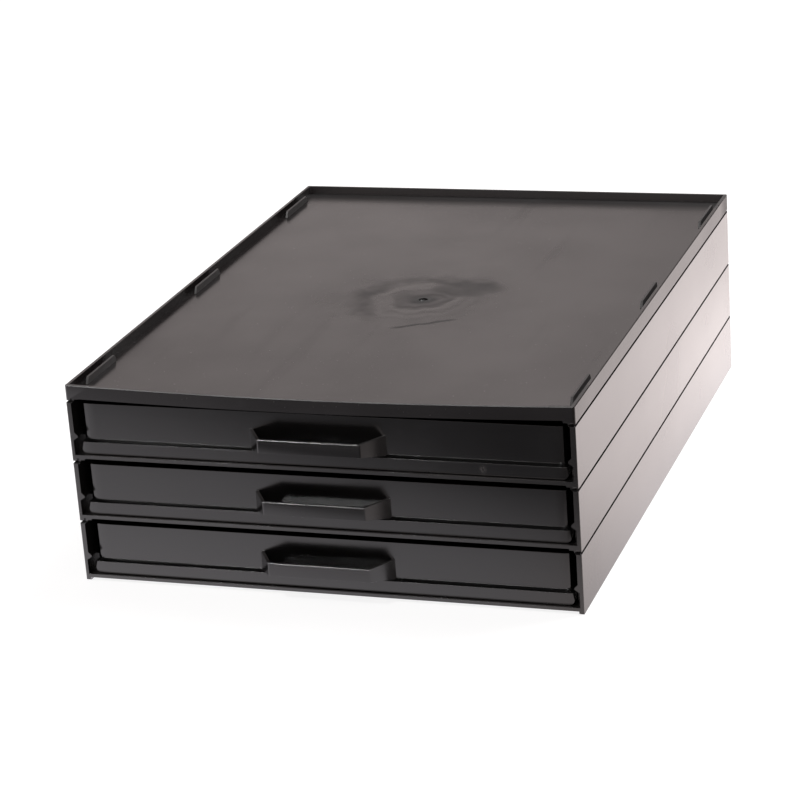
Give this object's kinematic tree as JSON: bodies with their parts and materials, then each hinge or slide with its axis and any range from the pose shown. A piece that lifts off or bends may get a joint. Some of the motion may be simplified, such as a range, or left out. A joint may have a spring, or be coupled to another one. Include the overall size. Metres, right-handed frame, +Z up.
{
  "type": "letter tray stack with drawers",
  "caption": "Low desktop stack of shallow form drawers with cup grips, sliding in stacked shells under a lid with a raised rim.",
  "frame": {"origin": "on the surface it stands on, under the middle of the closed unit with its grips", "axes": "+Z up, drawers open towards -Y, +X to the right as seen by the user"},
  "size_m": [0.26, 0.3678, 0.1062],
  "materials": {
    "shell_plastic": "semi-gloss moulded black",
    "lid_plastic": "semi-gloss moulded black",
    "drawer_plastic": "glossy moulded black"
  },
  "bodies": {
    "body": {"shell_bottom": "shell_plastic", "shell_middle": "shell_plastic", "shell_top": "shell_plastic", "lid": "lid_plastic"},
    "drawer_bottom": {"drawer_bottom": "drawer_plastic"},
    "drawer_middle": {"drawer_middle": "drawer_plastic"},
    "drawer_top": {"drawer_top": "drawer_plastic"}
  },
  "joints": [
    {"name": "drawer_bottom_slide", "type": "slide", "parent": "body", "child": "drawer_bottom", "axis": [0, -1, 0], "range_m": [0, 0.2548]},
    {"name": "drawer_middle_slide", "type": "slide", "parent": "body", "child": "drawer_middle", "axis": [0, -1, 0], "range_m": [0, 0.2548]},
    {"name": "drawer_top_slide", "type": "slide", "parent": "body", "child": "drawer_top", "axis": [0, -1, 0], "range_m": [0, 0.2548]}
  ]
}
